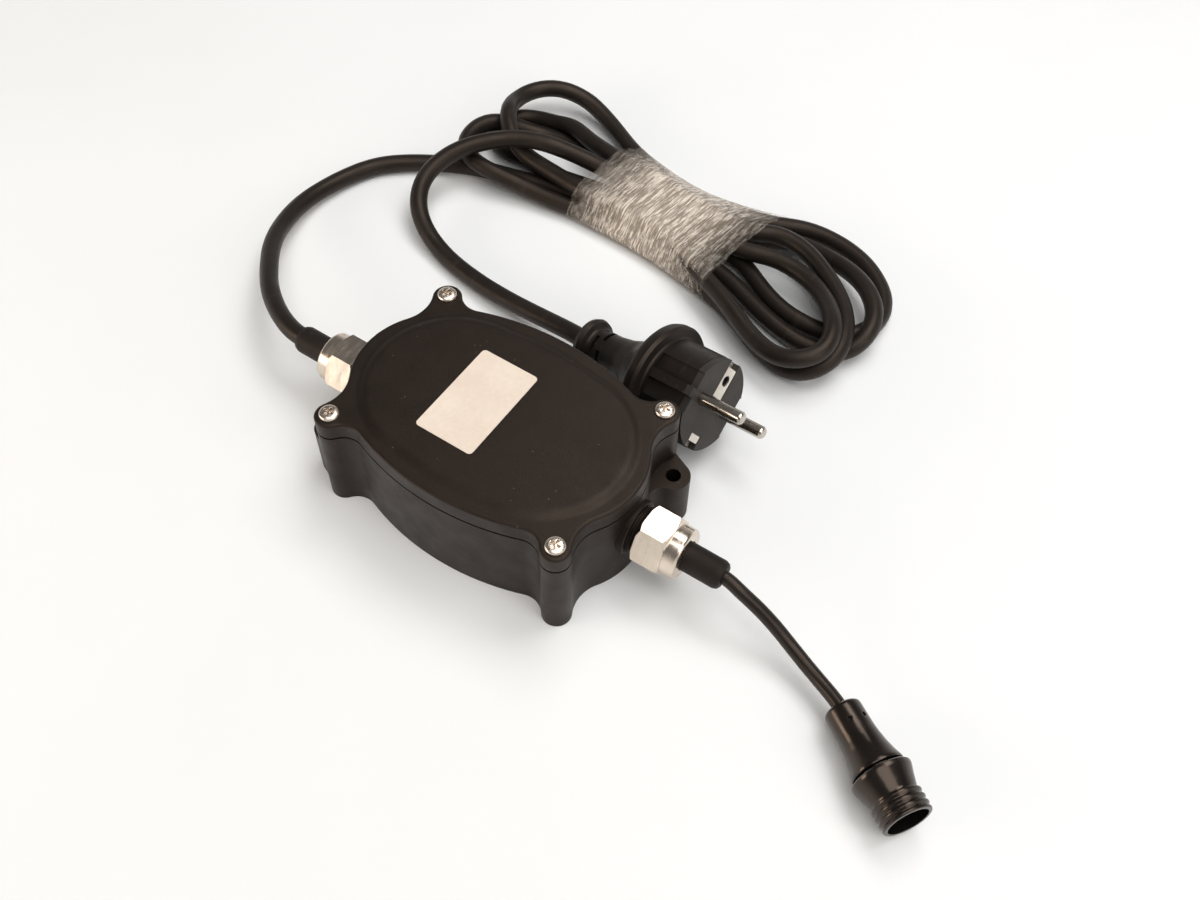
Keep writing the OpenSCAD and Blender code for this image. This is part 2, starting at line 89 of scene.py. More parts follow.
def ramp(t, value, stops):
    r = t.nodes.new("ShaderNodeValToRGB")
    e = r.color_ramp.elements
    while len(e) < len(stops):
        e.new(0.5)
    for k, (at, c) in enumerate(stops):
        e[k].position = at
        e[k].color = (*c, 1)
    link(t, value, r.inputs["Fac"])
    return r.outputs["Color"]


def span(t, value, a, b, c, d):
    n = t.nodes.new("ShaderNodeMapRange")
    for k, x in enumerate((a, b, c, d)):
        n.inputs[k + 1].default_value = x
    link(t, value, n.inputs["Value"])
    return n.outputs["Result"]


def blend_colour(t, fac, a, b):
    n = t.nodes.new("ShaderNodeMix")
    n.data_type = "RGBA"
    link(t, fac, n.inputs["Factor"])
    link(t, a, n.inputs["A"])
    n.inputs["B"].default_value = (*b, 1)
    return n.outputs["Result"]


def math_node(t, kind, a, b):
    n = t.nodes.new("ShaderNodeMath")
    n.operation = kind
    for k, x in enumerate((a, b)):
        if isinstance(x, (int, float)):
            n.inputs[k].default_value = x
        else:
            link(t, x, n.inputs[k])
    return n.outputs["Value"]


def bump(t, height, distance, strength=1.0, after=None):
    n = t.nodes.new("ShaderNodeBump")
    n.inputs["Distance"].default_value = distance
    n.inputs["Strength"].default_value = strength
    link(t, height, n.inputs["Height"])
    if after:
        link(t, after, n.inputs["Normal"])
    return n.outputs["Normal"]


def specks(t, where, scale, size):
    """Sparse small dots, 1 on a dot."""
    n = t.nodes.new("ShaderNodeTexVoronoi")
    n.inputs["Scale"].default_value = scale
    link(t, where, n.inputs["Vector"])
    near = span(t, n.outputs["Distance"], size, size * 0.5, 0, 1)
    some = math_node(t, "GREATER_THAN", noise(t, where, scale * 0.23, 2), 0.6)
    return math_node(t, "MULTIPLY", near, some)


def moulded(name, dark, light, rough, grain=1500, depth=0.00006, dust=0.0, patch=35, scratch=0.0,
            shine=0.25):
    """Moulded plastic or rubber: broad tone changes, a fine grain, dust and light scuffs."""
    m, t, p, w = material(name)
    p.inputs["Specular IOR Level"].default_value = shine
    p.inputs["Specular Tint"].default_value = (1.0, 0.78, 0.65, 1)
    broad = noise(t, w, patch, 5, 0.6)
    colour = ramp(t, broad, [(0.3, dark), (0.72, light)])
    fine = noise(t, w, grain, 3, 0.6)
    r = span(t, noise(t, w, patch * 3, 4), 0.3, 0.7, rough - 0.07, rough + 0.07)
    if scratch:
        s = noise(t, w, 160, 6, 0.7, (1.0, 0.16, 0.3))
        worn = span(t, s, 0.6, 0.74, 0, scratch)
        colour = blend_colour(t, worn, colour, tuple(min(1, 3.2 * c + 0.02) for c in light))
    if dust:
        d = math_node(t, "MULTIPLY", specks(t, w, 420, 0.16), dust)
        colour = blend_colour(t, d, colour, (0.16, 0.135, 0.115))
    link(t, colour, p.inputs["Base Color"])
    link(t, r, p.inputs["Roughness"])
    link(t, bump(t, fine, depth), p.inputs["Normal"])
    return m


def metal(name, dark, light, rough, grain=900, depth=0.00001, stretch=None, stain=0.0):
    """Plated or turned metal: clouded tone, fine tool marks and a few dull stains."""
    m, t, p, w = material(name)
    p.inputs["Metallic"].default_value = 1
    colour = ramp(t, noise(t, w, 90, 5, 0.6), [(0.3, dark), (0.7, light)])
    marks = noise(t, w, grain, 4, 0.6, stretch)
    r = span(t, marks, 0.3, 0.7, rough - 0.06, rough + 0.1)
    if stain:
        s = span(t, noise(t, w, 210, 6, 0.65), 0.56, 0.7, 0, stain)
        colour = blend_colour(t, s, colour, tuple(c * 0.45 for c in dark))
        r = math_node(t, "ADD", r, math_node(t, "MULTIPLY", s, 0.3))
    link(t, colour, p.inputs["Base Color"])
    link(t, r, p.inputs["Roughness"])
    link(t, bump(t, marks, depth), p.inputs["Normal"])
    return m


def paper(name):
    m, t, p, w = material(name)
    fibre = noise(t, w, 700, 6, 0.7)
    tone = noise(t, w, 60, 4)
    colour = blend_colour(t, span(t, fibre, 0.35, 0.7, 0, 0.35),
                          ramp(t, tone, [(0.3, (0.80, 0.68, 0.575)), (0.7, (0.88, 0.77, 0.66))]),
                          (0.68, 0.57, 0.48))
    link(t, colour, p.inputs["Base Color"])
    link(t, span(t, tone, 0.3, 0.7, 0.42, 0.56), p.inputs["Roughness"])
    link(t, bump(t, fibre, 0.00002), p.inputs["Normal"])
    return m


def stretch_film(name):
    """Thin clear film: see-through, with crinkles running round the bundle, whose glints are painted into the
    base colour as painted highlights.
    """
    m, t, p, w = material(name)
    turn = t.nodes.new("ShaderNodeMapping")
    turn.inputs["Rotation"].default_value = (0, 0, math.radians(7))
    link(t, w, turn.inputs["Vector"])
    w = turn.outputs["Vector"]
    split = t.nodes.new("ShaderNodeSeparateXYZ")
    link(t, w, split.inputs["Vector"])
    off = math_node(t, "ABSOLUTE", math_node(t, "ADD", split.outputs["X"], 0.0359), 0)
    middle = span(t, off, 0.034, 0.012, 0.03, 0.5)
    a = noise(t, w, 1300, 7, 0.7, (1.0, 0.09, 0.16))
    b = noise(t, w, 420, 6, 0.72, (1.0, 0.35, 0.5))
    fold_and_highlight = math_node(t, "MULTIPLY", span(t, a, 0.46, 0.6, 0, 1), span(t, b, 0.4, 0.56, 0.25, 1))
    p.inputs["Roughness"].default_value = 0.2
    p.inputs["IOR"].default_value = 1.5
    # painted highlight: the crinkle mask lifts the base colour from a dark translucent tone to near white,
    # standing in for light glinting off the folds; the streak alpha lets it show most in the middle
    colour = ramp(t, fold_and_highlight, [(0.0, (0.56, 0.46, 0.37)), (0.4, (0.98, 0.88, 0.77))])
    link(t, colour, p.inputs["Base Color"])
    streaks = math_node(t, "MULTIPLY", fold_and_highlight, span(t, off, 0.034, 0.014, 0.14, 0.58))
    cover = math_node(t, "ADD", middle, streaks)
    link(t, math_node(t, "MINIMUM", cover, 0.97), p.inputs["Alpha"])
    link(t, bump(t, a, 0.0005, 1.0, bump(t, b, 0.0012)), p.inputs["Normal"])
    return m


BLACK = moulded("housing_plastic", (0.0058, 0.0040, 0.0032), (0.0095, 0.0068, 0.0054), 0.46, 1700, 0.00008,
                dust=0.35,
                 shine=0.34)
SEAL = moulded("seal_rubber", (0.003, 0.003, 0.003), (0.006, 0.006, 0.006), 0.7)
SHEATH = moulded("cord_sheath", (0.0075, 0.0063, 0.0055), (0.014, 0.0118, 0.0102), 0.46, 1200, 0.00005,
                 scratch=0.3,
                 shine=0.35)
LV_SHEATH = moulded("lv_sheath", (0.0062, 0.0056, 0.0052), (0.011, 0.010, 0.0092), 0.38, 1500, 0.00003,
                    scratch=0.15, shine=0.4)
SLEEVE = moulded("sleeve_rubber", (0.0075, 0.0066, 0.006), (0.0135, 0.012, 0.011), 0.55, 1300, 0.00006,
                 dust=0.25)
PLUG = moulded("plug_rubber", (0.0065, 0.0056, 0.0050), (0.0125, 0.0108, 0.0096), 0.42, 1300, 0.00005,
               dust=0.25,
               scratch=0.2, shine=0.35)
FACE = moulded("plug_insert", (0.026, 0.0245, 0.0240), (0.042, 0.0395, 0.0385), 0.5, 1500, 0.00004)
CONN = moulded("connector_plastic", (0.0050, 0.0044, 0.0042), (0.0095, 0.0087, 0.0082), 0.21, 900, 0.00002,
               dust=0.3,
               shine=0.6)
NICKEL = metal("nickel_nut", (0.66, 0.56, 0.46), (0.82, 0.73, 0.63), 0.2, 500, 0.000004, (1.0, 0.2, 0.2), 0.2)
SCREW = metal("screw_steel", (0.62, 0.53, 0.45), (0.80, 0.71, 0.62), 0.26, 1200, 0.000006, None, 0.2)
PIN = metal("pin_nickel", (0.40, 0.36, 0.32), (0.60, 0.55, 0.49), 0.2, 900, 0.000008, (0.12, 1.0, 1.0), 0.25)
STRIP = metal("earth_strip", (0.60, 0.54, 0.47), (0.84, 0.79, 0.72), 0.42, 900, 0.000008, None, 0.15)
IRON = metal("core_laminations", (0.16, 0.16, 0.17), (0.28, 0.28, 0.29), 0.45, 1400, 0.00003,
             (0.1, 0.1, 3.0), 0.4)
BRASS = metal("contact_brass", (0.66, 0.50, 0.22), (0.80, 0.64, 0.34), 0.25, 900, 0.00001)
COPPER = metal("winding_copper", (0.42, 0.16, 0.06), (0.70, 0.32, 0.14), 0.3, 2600, 0.0001, (0.05, 1.0, 0.05))
PAPER = paper("label_film")
BOARD = moulded("circuit_board", (0.012, 0.07, 0.025), (0.02, 0.11, 0.04), 0.4, 900, 0.00002)
BOBBIN = moulded("bobbin_nylon", (0.48, 0.46, 0.38), (0.62, 0.60, 0.52), 0.5)
GREEN = moulded("terminal_green", (0.02, 0.14, 0.045), (0.03, 0.2, 0.07), 0.42)
EPOXY = moulded("component_epoxy", (0.008, 0.008, 0.009), (0.016, 0.016, 0.018), 0.4)
CAN = moulded("capacitor_sleeve", (0.008, 0.011, 0.05), (0.012, 0.02, 0.08), 0.3)
CERAMIC = moulded("fuse_body", (0.5, 0.46, 0.38), (0.65, 0.62, 0.55), 0.45)
NYLON = moulded("thrust_ring", (0.55, 0.54, 0.5), (0.7, 0.69, 0.66), 0.45)
BROWN = moulded("core_brown", (0.06, 0.022, 0.008), (0.1, 0.04, 0.016), 0.4)
BLUE = moulded("core_blue", (0.006, 0.03, 0.16), (0.012, 0.05, 0.24), 0.4)
EARTH = moulded("core_green", (0.05, 0.2, 0.01), (0.09, 0.3, 0.02), 0.4)
RED = moulded("core_red", (0.22, 0.01, 0.008), (0.32, 0.02, 0.014), 0.4)
JET = moulded("core_black", (0.006, 0.006, 0.006), (0.012, 0.012, 0.012), 0.4)
FILM = stretch_film("stretch_film")


# ---------------------------------------------------------------- cords
def mm(points):
    return np.array(points, float) * 0.001


def smooth_route(points, step):
    """Centripetal Catmull-Rom line through the points, resampled evenly."""
    p = np.vstack([2 * points[0] - points[1], points, 2 * points[-1] - points[-2]])
    out = []
    for k in range(1, len(p) - 2):
        q = p[k - 1:k + 3]
        t = np.concatenate([[0], np.cumsum(np.sqrt(np.linalg.norm(np.diff(q, axis=0), axis=1)))])
        for s in np.linspace(t[1], t[2], 12, endpoint=False):
            a = [((t[i + 1] - s) * q[i] + (s - t[i]) * q[i + 1]) / (t[i + 1] - t[i]) for i in range(3)]
            b = [((t[i + 2] - s) * a[i] + (s - t[i]) * a[i + 1]) / (t[i + 2] - t[i]) for i in range(2)]
            out.append(((t[2] - s) * b[0] + (s - t[1]) * b[1]) / (t[2] - t[1]))
    out.append(points[-1])
    return even(np.array(out), step)


def even(line, step):
    along = np.concatenate([[0], np.cumsum(np.linalg.norm(np.diff(line, axis=0), axis=1))])
    at = np.linspace(0, along[-1], int(along[-1] / step) + 1)
    return np.stack([np.interp(at, along, line[:, k]) for k in range(3)], axis=1)


def ease(line, least, rounds):
    """Rounds off the bends that are tighter than the radius least."""
    k = 4
    h = k * np.linalg.norm(line[1] - line[0])
    for _ in range(rounds):
        sag = np.zeros_like(line)
        sag[k:-k] = 0.5 * (line[:-2 * k] + line[2 * k:]) - line[k:-k]
        tight = np.clip(2 * np.linalg.norm(sag, axis=1) * least / h ** 2 - 1, 0, 1)
        tight = np.convolve(tight, np.hanning(13) / 6, "same")
        line = line + 0.12 * tight[:, None] * sag
    return line


FLOOR_GAP = 0.0002


def settle(line, d, rounds, ends):
    """Pushes crossing runs of cord apart, keeps them smooth and above the table."""
    rest = line.copy()
    n = len(line)
    gap = int(2.2 * d / np.linalg.norm(line[1] - line[0]))
    far = np.abs(np.arange(n)[:, None] - np.arange(n)[None]) > gap
    hold = np.ones((n, 1))
    hold[:ends] = 0
    hold[-ends:] = 0
    for k in range(rounds):
        v = line[:, None] - line[None]
        r = np.linalg.norm(v, axis=2) + 1e-9
        push = np.where(far & (r < d), (d - r) / r, 0)
        move = (v * push[:, :, None]).sum(1) / np.maximum((push > 0).sum(1), 1)[:, None]
        bend = np.zeros_like(line)
        bend[2:-2] = (-line[:-4] + 4 * line[1:-3] - 6 * line[2:-2] + 4 * line[3:-1] - line[4:]) / 16
        line = line + hold * (0.5 * move + 0.9 * bend + 0.012 * (rest - line))
        line[:, 2] = np.maximum(line[:, 2], d / 2 + FLOOR_GAP)
    return line


def cord_curve(name, line, d, mat):
    c = bpy.data.curves.new(name, "CURVE")
    c.dimensions = "3D"
    s = c.splines.new("POLY")
    s.points.add(len(line) - 1)
    for q, p in zip(s.points, line):
        q.co = (*p, 1)
    s.use_smooth = True
    c.bevel_depth = d / 2
    c.bevel_resolution = 6
    c.use_fill_caps = True
    c.materials.append(mat)
    o = bpy.data.objects.new(name, c)
    bpy.context.collection.objects.link(o)
    return o


MAINS_D = 0.0074
LV_D = 0.005
CORD_STEP = 0.0025
EASE_UNDER = 0.017  # tighter bends are eased towards this radius, not all the way
lead_in = mm([
    (-90, 0, 21.5), (-96, 0.4, 21.5), (-101, 1.5, 21.5), (-110, 5.5, 21), (-121, 13, 19.5),
    (-132, 24, 16.5), (-141, 35, 13.5), (-148, 48, 10), (-152.5, 66, 6.5), (-150.5, 86, 4.4),
    (-143, 103, 3.9), (-130, 114.5, 3.9), (-119, 121, 3.9), (-110, 125.5, 4), (-100, 128.5, 4),
    (-85, 131.8, 4.4), (-70, 134.5, 4.7)])
hank = mm([
    (-55.7, 137, 4.7), (-19.2, 136.8, 4.7), (17.1, 131.8, 4.7),
    (27, 128, 4.7), (40.1, 122.8, 4.7), (57.2, 118.5, 4.7), (67.9, 119.5, 4.7), (76.5, 122, 6),
    (81.3, 130, 10.5), (78.9, 141.7, 12.1), (70.6, 151.8, 12), (56.5, 160.5, 9),
    (40.2, 164.5, 6), (30, 165.5, 5),
    (20.7, 161.1, 4.7), (-16.7, 156.6, 4.7), (-52.7, 161, 4.7),
    (-65.5, 161.8, 4.7), (-82.9, 163.2, 4.7), (-97, 159.5, 4.7), (-108, 152.5, 9.5),
    (-114, 146, 12.1), (-116.5, 134, 12.1), (-112.9, 125.6, 11.6), (-103.2, 122.8, 11.6),
    (-89, 124.3, 9), (-74.6, 127.5, 6),
    (-56.6, 129.5, 4.7), (-20.2, 128.3, 4.7), (15.7, 120.9, 4.7),
    (29.9, 115.8, 4.7), (49.6, 106, 4.7), (64.4, 102.5, 6), (73.6, 105.8, 10), (76, 115, 13.5),
    (72.7, 126.6, 14), (65.5, 138.5, 13), (53.6, 148.9, 12.5), (38.9, 156.8, 12.5),
    (24, 157.8, 12.5),
    (15, 153, 12.1), (-17, 154.6, 12.1), (-53, 159, 12.1),
    (-69.9, 162.2, 11), (-85.3, 166.7, 8), (-99, 168.3, 5), (-109.2, 164.8, 4.7),
    (-115.4, 159.2, 4.7), (-116.1, 152.5, 4.7), (-111.5, 144.5, 4.7), (-102, 141.5, 4.7),
    (-92.6, 143.4, 4.7), (-79, 141.2, 4.7), (-66, 142.5, 4.7),
    (-54.7, 144.6, 4.7), (-18.1, 145.2, 4.7), (18.4, 142.7, 4.7),
    (27.9, 137.3, 4.7), (45.8, 129.4, 4.7), (63.9, 128.7, 4.7), (75.6, 134.2, 4.7),
    (79.4, 144.6, 4.7), (77.2, 156.3, 4.7), (64.2, 169.2, 4.7), (47.8, 175, 4.7),
    (30.5, 174.6, 4.7),
    (18, 169.5, 4.7), (-15.7, 164.6, 4.7), (-51.3, 172.4, 4.7),
    (-72.5, 182.1, 6), (-87.7, 186.2, 9), (-100.7, 183, 12), (-108.9, 176.6, 12.1),
    (-112, 165.5, 13), (-106.4, 150.5, 17), (-98.3, 142.3, 16), (-90.3, 138.8, 12.5),
    (-76.6, 136.6, 12.1),
    (-57, 134.5, 12.1), (-19.6, 133.3, 12.1), (17, 118.5, 12.5),
    (27.6, 113.2, 13), (44.2, 103.9, 13), (59.5, 98.8, 15), (68, 100.2, 17.5), (73.4, 107.8, 18),
    (70.7, 121.4, 18.3), (60, 135, 15), (46.1, 143.8, 12.5), (30.8, 145.6, 12.5),
    (18.4, 142.7, 12.1), (-17.9, 146.7, 12.1), (-54.1, 150.1, 12.5)])
lead_out = mm([
    (-67.9, 147.3, 16), (-76.7, 142.7, 20), (-86.7, 139.8, 20.5), (-95.1, 134.6, 20.5),
    (-102.3, 127.8, 20), (-108.5, 119.7, 19), (-112.4, 111.6, 17), (-114.3, 102, 14),
    (-110.2, 91.3, 11), (-102.5, 84, 7.5), (-91, 78.8, 4.4), (-80.5, 75.6, 3.9), (-66, 72.6, 4.4),
    (-49, 70.1, 6.2), (-32, 68.2, 9), (-15.4, 66.4, 12), (-6.4, 64.95, 13.5), (-2.5, 64.35, 14.2)])
mains_line = smooth_route(np.vstack([lead_in, hank, lead_out]), CORD_STEP)
mains_line = settle(ease(mains_line, EASE_UNDER, 150), MAINS_D, 260, 6)
mains_cord = cord_curve("mains_cord", mains_line, MAINS_D, SHEATH)
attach(mains_cord, "housing")
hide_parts("mains_lead_housing", "mains_hank", "mains_lead_plug")

lv_line = smooth_route(mm([
    (90, 0, 21.5), (92.6, -0.05, 21.45), (94.7, -0.2, 21.3), (97.5, -0.7, 20.8), (100.4, -1.1, 19.9),
    (103.5, -1.3, 18.7), (107, -1.5, 17.2), (111, -1.9, 15.3), (115.4, -2.6, 13.3), (119, -3.5, 11.9),
    (122.4, -4.5, 10.8), (125.9, -5.6, 9.9), (129.6, -6.9, 9.2), (133.3, -8.2, 8.8),
    (136.9, -9.6, 8.6), (140.5, -11.1, 8.7), (143.5, -12.5, 8.9), (147.5, -14.9, 9.2)]), 0.0012)
lv_line = settle(lv_line, LV_D, 60, 3)
lv_cord = cord_curve("lv_cord", lv_line, LV_D, LV_SHEATH)
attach(lv_cord, "housing")
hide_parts("lv_lead")


# ---------------------------------------------------------------- mesh helpers
class Build:
    """Collects rings of points and the faces between them."""

    def __init__(self):
        self.verts, self.faces = [], []

    def ring(self, points):
        a = len(self.verts)
        self.verts += [tuple(p) for p in points]
        return list(range(a, len(self.verts)))

    def skin(self, a, b, flip=False):
        n = len(a)
        for i in range(n):
            q = (a[i], a[(i + 1) % n], b[(i + 1) % n], b[i])
            self.faces.append(q[::-1] if flip else q)

    def loft(self, rings, flip=False):
        for a, b in zip(rings, rings[1:]):
            self.skin(a, b, flip)

    def cap(self, outer, holes=(), up=True):
        loops = [outer, *holes]
        flat = [k for r in loops for k in r]
        for t in tessellate_polygon([[Vector(self.verts[k]) for k in r] for r in loops]):
            a, b, c = (Vector(self.verts[flat[k]]) for k in t)
            z = (b - a).cross(c - a).z
            if abs(z) < 1e-16:
                continue
            t = [flat[k] for k in t]
            self.faces.append(t if (z > 0) == up else t[::-1])

    def piece(self, name, mat, body, sharp=40):
        me = bpy.data.meshes.new(name)
        me.from_pydata(self.verts, [], self.faces)
        me.materials.append(mat)
        me.validate()
        me.shade_smooth()
        me.set_sharp_from_angle(angle=math.radians(sharp))
        o = bpy.data.objects.new(name, me)
        bpy.context.collection.objects.link(o)
        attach(o, body)
        w = o.modifiers.new("normals", "WEIGHTED_NORMAL")
        w.keep_sharp = True
        return o


def arc(c, r, a, b, n, closed=True):
    t = np.linspace(a, b, n, endpoint=closed)
    return [(c[0] + r * math.cos(x), c[1] + r * math.sin(x)) for x in t]


def angle(p, q):
    return math.atan2(q[1] - p[1], q[0] - p[0])


# ---------------------------------------------------------------- lid
HALF_W, HALF_D, SIDE_R, END_R, LUG_R, FIL_A, FIL_B = 57.2, 39.4, 100.0, 30.0, 5.4, 8.0, 14.0
LUG = np.array([47.0, 33.0])
SIDE_C = np.array([0.0, HALF_D - SIDE_R])
END_C = np.array([HALF_W - END_R, 0.0])


def between(p, r, q, s, f, side):
    """Centre of the circle of radius f that touches circles (p, r) and (q, s) from outside."""
    d = q - p
    n = np.linalg.norm(d)
    a = ((r + f) ** 2 - (s + f) ** 2 + n * n) / (2 * n)
    h = math.sqrt(max(0, (r + f) ** 2 - a * a))
    u = d / n
    return p + a * u + side * h * np.array([-u[1], u[0]])


FA = between(SIDE_C, SIDE_R, LUG, LUG_R, FIL_A, 1)
FB = between(END_C, END_R, LUG, LUG_R, FIL_B, -1)


def quarter(o):
    """The outline's first quarter, from the +Y side round the lug to the +X end, o outward."""
    down = 2 * math.pi
    side = arc(SIDE_C, SIDE_R + o, math.pi / 2, angle(SIDE_C, FA), 22, False)
    a0, a1 = angle(FA, SIDE_C), angle(FA, LUG)
    fil_a = arc(FA, FIL_A - o, a0, a1 + (down if a1 < a0 else 0), 10, False)
    b0, b1 = angle(LUG, FA), angle(LUG, FB)
    lug = arc(LUG, LUG_R + o, b0, b1 - (down if b1 > b0 else 0), 22, False)
    c0, c1 = angle(FB, LUG), angle(FB, END_C)
    fil_b = arc(FB, FIL_B - o, c0, c1 + (down if c1 < c0 else 0), 10, False)
    end = arc(END_C, END_R + o, angle(END_C, FB), 0, 12, False)
    return side + fil_a + lug + fil_b + end + [(END_C[0] + END_R + o, 0.0)]


def whole(q):
    """Four mirrored quarters, clockwise from the top, without the doubled points."""
    right = q + [(x, -y) for x, y in q[-2::-1]]
    return right + [(-x, y) for x, y in right[-2:0:-1]]


def raised(points, z):
    return [(x * 0.001, y * 0.001, z * 0.001) for x, y in points]


def hollow(o):
    """The cavity's outline: the outline moved in by o, going round the inside of each screw lug."""
    q = quarter(-o)
    inside = [k for k, p in enumerate(q) if math.dist(p, LUG) < LUG_R]
    k0, k1 = inside[0], inside[-1]
    a, b = angle(LUG, q[k0 - 1]), angle(LUG, q[k1 + 1])
    turn = (b - a) % (2 * math.pi)
    for i, k in enumerate(range(k0, k1 + 1)):
        t = a + turn * (i + 0.5) / (k1 - k0 + 1)
        q[k] = (LUG[0] + LUG_R * math.cos(t), LUG[1] + LUG_R * math.sin(t))
    return whole(q)


def panel_outline(o):
    """Raised middle of the lid: two long arcs meeting two round ends."""
    r1, r2, c1, c2 = 100.0 - o, 31.6 - o, np.array([0.0, 33.4 - 100.0]), np.array([19.4, 0.0])
    d = np.linalg.norm(c2 - c1)
    u = (c2 - c1) / d
    a = (r1 * r1 - r2 * r2 + d * d) / (2 * d)
    h = math.sqrt(r1 * r1 - a * a)
    x = c1 + a * u + h * np.array([-u[1], u[0]])
    q = arc(c1, r1, math.pi / 2, angle(c1, x), 20, False) + arc(c2, r2, angle(c2, x), 0, 34)
    return whole(q)


def soften(points, rounds):
    p = np.array(points)
    for _ in range(rounds):
        p = 0.5 * p + 0.25 * (np.roll(p, 1, 0) + np.roll(p, -1, 0))
    return [tuple(x) for x in p]


def make_lid():
    b = Build()
    outer = [b.ring(raised(whole(quarter(o)), z)) for o, z in (
        (-0.45, 36.62), (-0.2, 36.64), (-0.06, 36.72), (0, 36.86), (0, 38.5), (0, 41), (0, 42.65),
        (-0.05, 42.95), (-0.18, 43.2), (-0.38, 43.39), (-0.65, 43.52), (-0.95, 43.58), (-1.3, 43.6))]
    b.loft(outer, True)
    inner = [b.ring(raised(hollow(2.4), z)) for z in (36.62, 38, 40.6, 41)]
    b.loft(inner)
    b.cap(inner[-1], up=False)
    low, high = [], []
    for sx in (-1, 1):
        for sy in (-1, 1):
            c = (sx * LUG[0], sy * LUG[1])
            rings = [b.ring(raised(arc(c, r, 0, 2 * math.pi, 24, False), z)) for r, z in (
                (1.9, 36.62), (1.9, 40), (1.9, 43.35), (2.1, 43.6))]
            b.loft(rings, True)
            low.append(rings[0])
            high.append(rings[-1])
    b.cap(outer[-1], high)
    b.cap(outer[0], [inner[0], *low], up=False)
    panel = [b.ring(raised(soften(panel_outline(o), 3), z)) for o, z in (
        (-2.3, 43.585), (-1.7, 43.61), (-1.1, 43.68), (-0.6, 43.81), (-0.1, 43.99), (0.4, 44.18),
        (0.9, 44.35), (1.5, 44.49), (2.2, 44.57), (3.0, 44.6))]
    b.loft(panel, True)
    b.cap(panel[-1])
    o = b.piece("lid_shell", BLACK, "lid", 50)
    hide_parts("lid")


# ---------------------------------------------------------------- stretch film round the hank
AXIS = Vector((0.99255, -0.12187, 0))
ACROSS = Vector((0.12187, 0.99255, 0))
START = Vector((-0.054, 0.1504, 0))


def hull(points):
    points = sorted(set(points))
    out = []
    for seq in (points, points[::-1]):
        part = []
        for p in seq:
            while len(part) > 1 and ((part[-1][0] - part[-2][0]) * (p[1] - part[-2][1])
                                     - (part[-1][1] - part[-2][1]) * (p[0] - part[-2][0])) <= 0:
                part.pop()
            part.append(p)
        out += part[:-1]
    return out


def wave(x, y, seed):
    """Smooth repeatable ripple from a few sines."""
    r = np.random.default_rng(seed)
    s = 0
    for _ in range(7):
        a, b, c = r.uniform(-1, 1), r.uniform(-1, 1), r.uniform(0, 6.28)
        s += math.sin(a * x + b * y + c)
    return s / 7


def make_film():
    line = mains_line - np.array(START)
    u, v, z = line @ np.array(AXIS), line @ np.array(ACROSS), line[:, 2]
    stations, around = 64, 210
    sections = []
    for u0 in np.linspace(-0.001, 0.073, stations):
        hits = [k for k in range(len(u) - 1) if (u[k] - u0) * (u[k + 1] - u0) <= 0 and abs(v[k]) < 0.032]
        pts = [(round(float(v[k]) + 0.0042 * math.cos(t), 7), round(float(z[k]) + 0.0042 * math.sin(t), 7))
               for k in hits for t in np.linspace(0, 2 * math.pi, 20, endpoint=False)]
        h = np.array(hull(pts))
        h = np.vstack([h, h[:1]])
        along = np.concatenate([[0], np.cumsum(np.linalg.norm(np.diff(h, axis=0), axis=1))])
        mid = (h[:, 0].min() + h[:, 0].max()) / 2
        at = np.linspace(0, along[-1], 1600, endpoint=False)
        x, y = (np.interp(at, along, h[:, j]) for j in (0, 1))
        at = (at[np.argmin(np.abs(x - mid) + (y > 0.006))] + at[-1] * np.arange(around) / around) % along[-1]
        sections.append(np.stack([np.interp(at, along, h[:, j]) for j in (0, 1)], axis=1))
    s = np.array(sections)
    for _ in range(3):
        s[1:-1] = 0.5 * s[1:-1] + 0.25 * (s[:-2] + s[2:])
    b = Build()
    rings = []
    for i in range(stations):
        c = s[i].mean(0)
        pts = []
        for j in range(around):
            out = s[i, j] - c
            out /= np.linalg.norm(out)
            x, y = i * 74 / stations, j * 0.7
            lift = 0.00016 * wave(x * 1.9 + y * 0.12, y * 0.4, 3)
            lift += 0.00012 * wave(x * 3.7 - y * 0.3, y * 0.8, 8)
            w = s[i, j] + out * lift
            w[1] = max(w[1], 0.00025)
            end = (i < 2) * -1 + (i > stations - 3)
            du = 0.0012 * end * wave(y * 0.5, 0, 5) if end else 0
            p = START + AXIS * (-0.001 + 0.074 * i / (stations - 1) + du) + ACROSS * w[0]
            pts.append((p.x, p.y, w[1]))
        rings.append(b.ring(pts))
    b.loft(rings, True)
    o = b.piece("film_wrap", FILM, "housing", 180)
    m = o.modifiers.new("thick", "SOLIDIFY")
    m.thickness = 0.00012
    m.offset = 0
    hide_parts("hank_wrap")
    return o


# ---------------------------------------------------------------- CAD nodes that stay
BEVEL_ABOVE = math.radians(32)


def dress(name, mat, width=0.0, segments=2):
    """Gives a CAD node its material and, where width (mm) is set, rounded edges."""
    o = nodes[name]
    for slot in o.material_slots:
        slot.material = mat
    if not o.material_slots:
        o.data.materials.append(mat)
    if not width:
        return
    m = o.modifiers.new("join", "WELD")
    m.merge_threshold = 0.000004
    m = o.modifiers.new("planes", "DECIMATE")
    m.decimate_type = "DISSOLVE"
    m.angle_limit = math.radians(0.3)
    m = o.modifiers.new("edges", "BEVEL")
    m.width = width * 0.001
    m.segments = segments
    m.limit_method = "ANGLE"
    m.angle_limit = BEVEL_ABOVE
    m.use_clamp_overlap = True
    m.miter_outer = "MITER_ARC"
    m = o.modifiers.new("normals", "WEIGHTED_NORMAL")
    m.keep_sharp = False
    m.weight = 60


